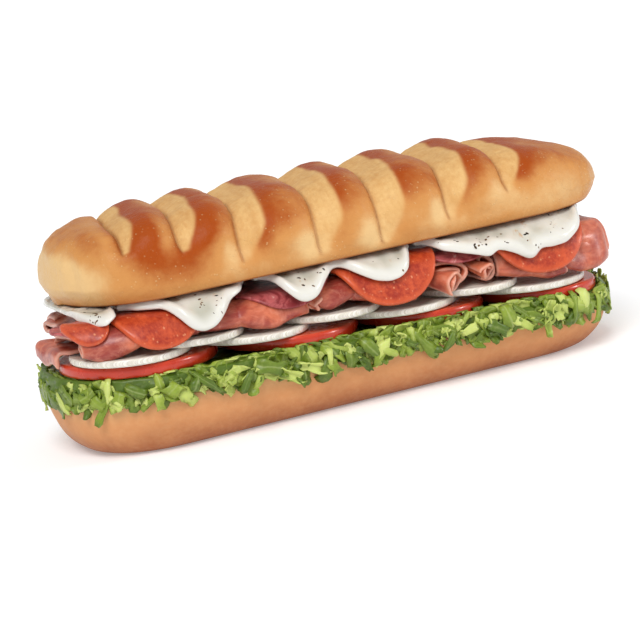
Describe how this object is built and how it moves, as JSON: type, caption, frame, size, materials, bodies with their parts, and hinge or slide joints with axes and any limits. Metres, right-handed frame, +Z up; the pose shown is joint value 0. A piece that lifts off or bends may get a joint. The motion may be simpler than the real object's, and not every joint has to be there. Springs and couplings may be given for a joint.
{
  "type": "submarine sandwich",
  "caption": "Long filled roll with a scored golden crust over melted cheese, sliced cold cuts, onion, tomato and shredded lettuce, lying flat on its base",
  "frame": {"origin": "on the flat underside of the lower roll, below the middle of its length and width", "axes": "+X runs along the roll, +Z is up, -Y is the long side that the picture shows"},
  "size_m": [0.21, 0.0854, 0.079],
  "materials": {
    "crust_golden": "baked golden-brown crust, soft satin sheen with pale scored bands",
    "crust_pale": "soft matte tan crust, darker towards the underside",
    "leaf": "fresh green leaf with pale ribs",
    "tomato": "wet red skin",
    "onion": "translucent white",
    "ham": "moist pink",
    "salami": "moist rosy, marbled with fat",
    "pepperoni": "oily orange-red with pale specks",
    "cheese": "smooth melted white with dark herb flecks"
  },
  "bodies": {
    "root": {"bread_bottom": "crust_pale", "bread_top": "crust_golden", "cheese_1": "cheese", "cheese_2": "cheese", "cheese_3": "cheese", "cheese_4": "cheese", "ham_1": "ham", "ham_2": "ham", "ham_3": "ham", "ham_4": "ham", "ham_5": "ham", "ham_6": "ham", "ham_7": "ham", "ham_8": "ham", "ham_9": "ham", "lettuce": "leaf", "onion_1": "onion", "onion_2": "onion", "onion_3": "onion", "onion_4": "onion", "onion_5": "onion", "onion_6": "onion", "onion_7": "onion", "pepperoni_1": "pepperoni", "pepperoni_2": "pepperoni", "pepperoni_3": "pepperoni", "pepperoni_4": "pepperoni", "pepperoni_5": "pepperoni", "pepperoni_6": "pepperoni", "salami_1": "salami", "salami_2": "salami", "salami_3": "salami", "salami_4": "salami", "tomato_1": "tomato", "tomato_2": "tomato", "tomato_3": "tomato", "tomato_4": "tomato"}
  },
  "joints": []
}
